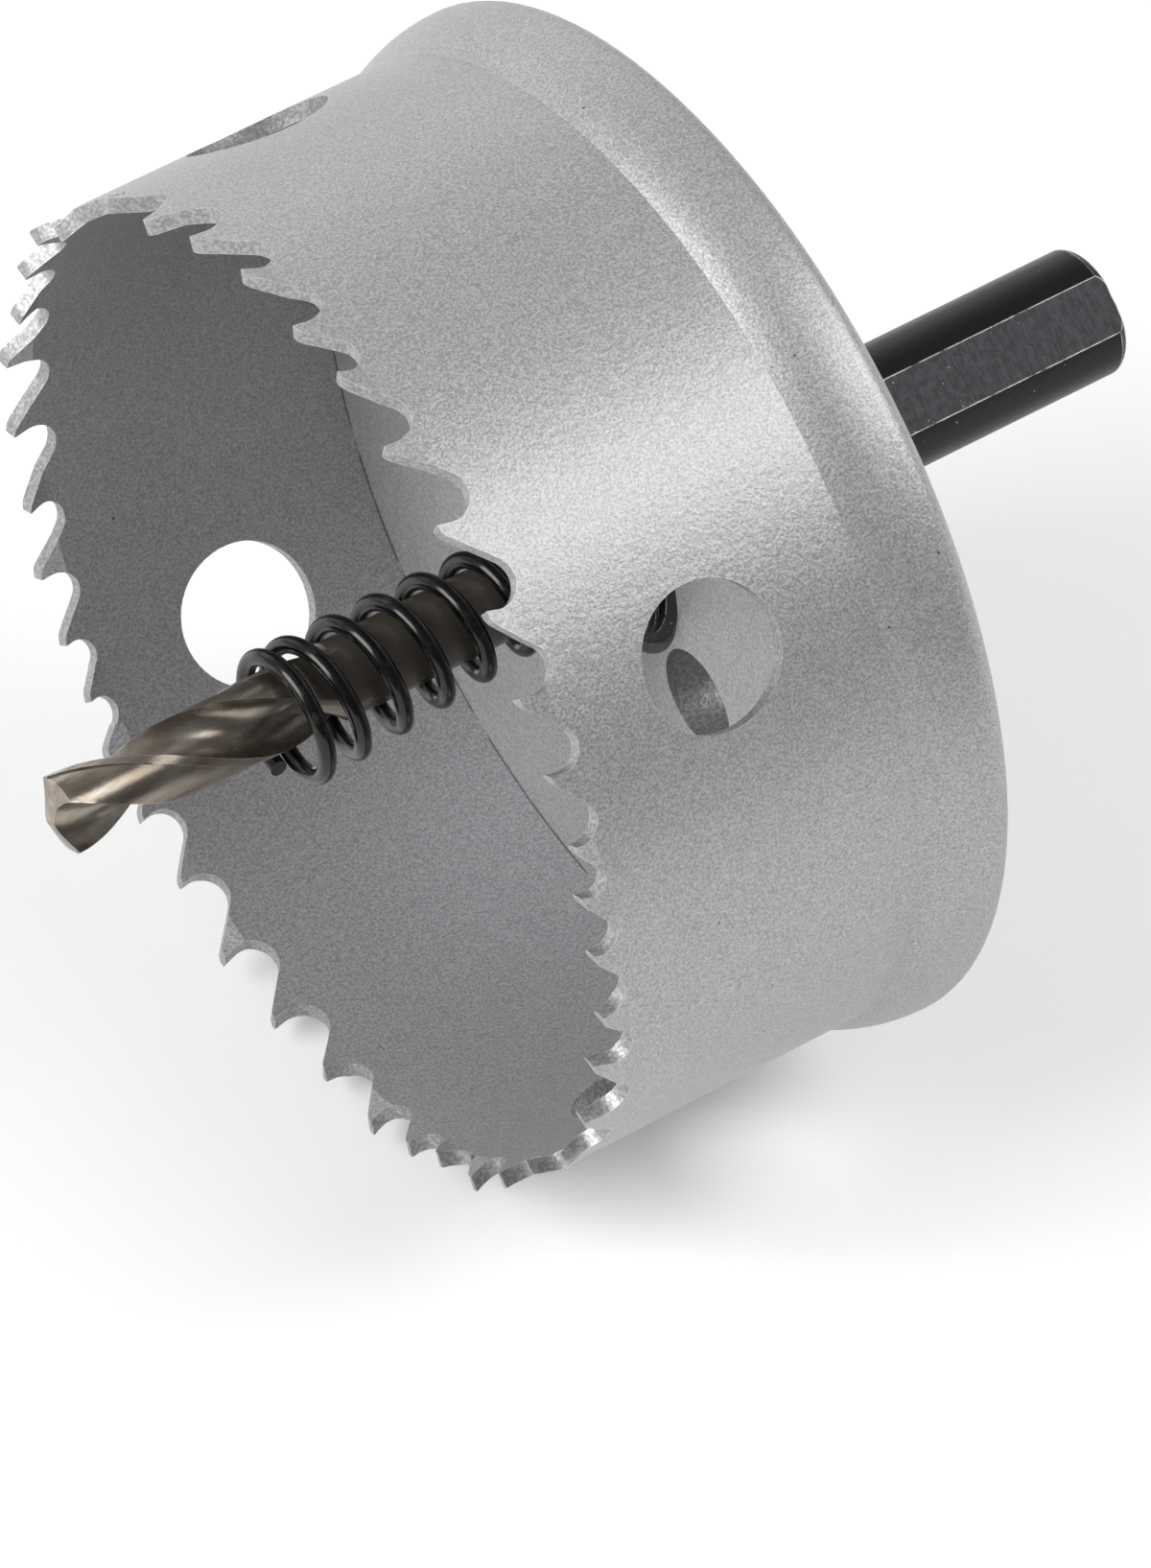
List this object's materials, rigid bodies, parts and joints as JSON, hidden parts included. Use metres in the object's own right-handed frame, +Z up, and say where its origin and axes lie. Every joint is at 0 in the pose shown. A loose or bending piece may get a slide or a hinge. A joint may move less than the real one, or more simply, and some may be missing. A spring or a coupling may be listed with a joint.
{
  "type": "hole saw",
  "caption": "Toothed steel cup on a thick end disc, with a round arbor, a twist pilot drill and an ejector spring, for cutting round holes in wood and metal.",
  "frame": {"origin": "on the tool's axis where the round shank leaves the arbor's hexagon", "axes": "+X along the tool's axis from the teeth to the shank's free end, +Z up as the saw lies on its side"},
  "size_m": [0.0911, 0.0802, 0.0802],
  "materials": {
    "coated_band": "fine silver metallic coating, cut edges bare",
    "coated_cap": "fine silver metallic coating",
    "black_oxide_steel": "black oxide, worn bright at its edges",
    "drill_steel": "ground high-speed steel",
    "screw_steel": "black oxide",
    "spring_wire": "glossy black wire"
  },
  "bodies": {
    "root": {"saw_band": "coated_band", "base_cap": "coated_cap", "arbor": "black_oxide_steel", "pilot_drill": "drill_steel", "drill_set_screw": "screw_steel", "ejector_spring": "spring_wire"}
  },
  "joints": []
}
